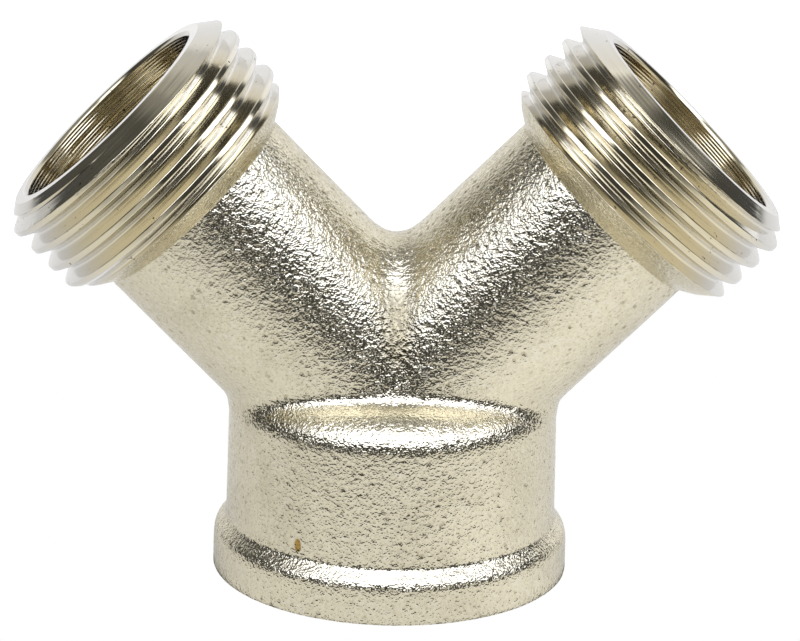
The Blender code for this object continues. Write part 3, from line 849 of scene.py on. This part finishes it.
def floor():
    side = 1.6
    bm = bmesh.new()
    bmesh.ops.create_grid(bm, x_segments=24, y_segments=24, size=side)
    mesh = bpy.data.meshes.new("floor")
    bm.to_mesh(mesh)
    bm.free()
    obj = add_object("floor", mesh)
    obj.location = (0.0, 0.0, cad_low.z - 0.00002)
    mat = bpy.data.materials.new("pale_floor")
    mat.use_nodes = True
    mat.node_tree.nodes.clear()
    n = Nodes(mat.node_tree)
    # seen directly it is lit white paper; in the metal it is a glow that fades towards the camera and under the object
    lit = n.add("ShaderNodeBsdfDiffuse", {"Color": (0.80, 0.80, 0.80, 1.0)})
    own = n.add("ShaderNodeEmission", {"Color": (1.0, 1.0, 1.0, 1.0), "Strength": 0.62})
    seen = n.add("ShaderNodeAddShader", {0: lit.outputs[0], 1: own.outputs[0]})
    at = n.add("ShaderNodeSeparateXYZ", {0: mm_coords(n)})
    x, y = at.outputs[0], at.outputs[1]
    r = n.math("SQRT", n.math("ADD", n.math("MULTIPLY", x, x), n.math("MULTIPLY", y, y)))
    front = n.ramp(n.math("DIVIDE", n.math("MULTIPLY", y, -1.0), n.math("ADD", r, 0.01)), 0.05, 0.85)
    fade = n.math("MULTIPLY", front, n.ramp(r, 25.0, 205.0, 0.0, 0.65))
    # painted shadow in the glow round the foot of the object, stronger to the sides and behind
    painted_contact_shadow = n.math("MULTIPLY", n.math("EXPONENT", n.math("DIVIDE", n.math("SUBTRACT", 16.0, r), 8.0)), 0.08)
    beside = n.ramp(n.math("DIVIDE", y, n.math("ADD", r, 0.01)), -0.75, 0.1)
    painted_contact_shadow = n.math("ADD", painted_contact_shadow, n.math("MULTIPLY", n.math("MULTIPLY", n.math("EXPONENT", n.math("DIVIDE", n.math("SUBTRACT", 16.5, r), 4.0)), 0.22), beside))
    level = n.math("MULTIPLY", n.math("SUBTRACT", 0.93, fade), n.math("SUBTRACT", 1.0, painted_contact_shadow, clamp=True))
    turn = n.math("MULTIPLY_ADD", n.math("ARCTAN2", x, n.math("MULTIPLY", y, -1.0)), 1 / math.tau, 0.5)
    sides = n.add("ShaderNodeValToRGB", {0: turn})
    levels = [(-180, 0.95), (-150, 0.92), (-122, 0.79), (-90, 0.83), (-55, 0.95), (0, 1.0), (40, 1.12), (63, 1.13), (94, 0.96), (124, 0.88), (155, 0.93), (180, 0.95)]
    while len(sides.color_ramp.elements) < len(levels):
        sides.color_ramp.elements.new(0.5)
    for stop, (angle, value) in zip(sides.color_ramp.elements, levels):
        stop.position = (angle + 180) / 360
        stop.color = (value / 1.2,) * 3 + (1.0,)
    level = n.math("MULTIPLY", level, n.math("MULTIPLY", sides.outputs[0], 1.2))
    painted_rim_shadow = n.math("MULTIPLY", n.ramp(r, 17.1, 16.6), n.ramp(r, 16.35, 16.5))  # painted shadow: the dark line round the foot of the rim
    level = n.math("MULTIPLY", level, n.math("MULTIPLY_ADD", painted_rim_shadow, -0.85, 1.0))
    # painted light at the front right and painted shade at the front left of the glow, as from a white card and a grey
    # one; no cards are there
    across = n.math("DIVIDE", x, n.math("ADD", r, 0.01))
    painted_card_patches = n.math("SUBTRACT", n.ramp(across, 0.25, 0.60, 0.0, 0.24), n.ramp(across, -0.25, -0.60, 0.0, 0.30))
    painted_card_patches = n.math("MULTIPLY", painted_card_patches, n.math("MULTIPLY", n.ramp(r, 68.0, 90.0), n.ramp(n.math("MULTIPLY", y, -1.0), 0.0, 30.0)))
    painted_card_patches = n.math("MULTIPLY", painted_card_patches, n.ramp(r, 175.0, 130.0))
    level = n.math("MULTIPLY", level, n.math("ADD", painted_card_patches, 1.0))
    # painted shade: the glow dims far ahead and to the sides, as if the paper ended there
    ahead = n.ramp(n.math("DIVIDE", n.math("MULTIPLY", y, -1.0), n.math("ADD", r, 0.01)), -0.75, -0.50)
    level = n.math("MULTIPLY", level, n.math("SUBTRACT", 1.0, n.math("MULTIPLY", ahead, n.ramp(r, 230.0, 800.0, 0.0, 0.88))))
    glow = n.add("ShaderNodeEmission", {"Color": (1.0, 1.0, 1.0, 1.0), "Strength": level})
    # the paper doesn't hide what is under it: the washer drops below the inlet when it is taken out
    below = n.add("ShaderNodeNewGeometry").outputs["Backfacing"]
    open_ = n.math("MAXIMUM", below, n.ramp(r, 150.0, 95.0))
    shown = n.add("ShaderNodeMixShader", {0: open_, 1: seen.outputs[0], 2: n.add("ShaderNodeBsdfTransparent").outputs[0]})
    both = n.add("ShaderNodeMixShader", {0: n.add("ShaderNodeLightPath").outputs["Is Camera Ray"], 1: glow.outputs[0], 2: shown.outputs[0]})
    n.add("ShaderNodeOutputMaterial", {"Surface": both.outputs[0]})
    mesh.materials.append(mat)


def camera():
    reach, e, psi, rho, f, tx, tz = 331.57, math.radians(17.526), math.radians(-1.865), math.radians(1.449), 3589.92, 0.4675, 23.66
    back = Vector((math.sin(psi) * math.cos(e), -math.cos(psi) * math.cos(e), math.sin(e)))
    right = Vector((math.cos(psi), math.sin(psi), 0.0))
    up = back.cross(right)
    right, up = right * math.cos(rho) + up * math.sin(rho), -right * math.sin(rho) + up * math.cos(rho)
    data = bpy.data.cameras.new("camera")
    data.sensor_width = 36.0
    data.lens = 36.0 * f / 800.0
    data.clip_start, data.clip_end = 0.01, 10.0
    obj = bpy.data.objects.new("camera", data)
    bpy.context.scene.collection.objects.link(obj)
    place = Matrix((right, up, back)).transposed().to_4x4()
    place.translation = (Vector((tx, 0.0, tz)) + back * reach) * MM
    obj.matrix_world = place
    bpy.context.scene.camera = obj


# ---------------------------------------------------------------- put together
forged_nickel = forged_material()
cut_nickel = machined_material()
bored_nickel = machined_material(True)
rubber = rubber_material()

body = forged_body()
body.data.materials.clear()
body.data.materials.append(forged_nickel)
body.data.materials.append(cut_nickel)
heads = [outlet_head("left"), outlet_head("right"), inlet_thread()]
for piece in heads:
    piece.data.materials.append(cut_nickel)
    piece.data.materials.append(forged_nickel)
    piece.data.materials.append(bored_nickel)
ring = washer()
ring.data.materials.append(rubber)

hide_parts("splitter_body")
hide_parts("inlet_washer")
for piece in (body, *heads):
    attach(piece, "body")
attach(ring, "washer")

for node, mat in (("splitter_body", forged_nickel), ("inlet_washer", rubber)):
    data = frame["nodes"][node].data
    data.materials.clear()
    data.materials.append(mat)

sky()
floor()
camera()
bpy.context.scene.view_settings.view_transform = "Standard"
bpy.context.scene.view_settings.look = "None"
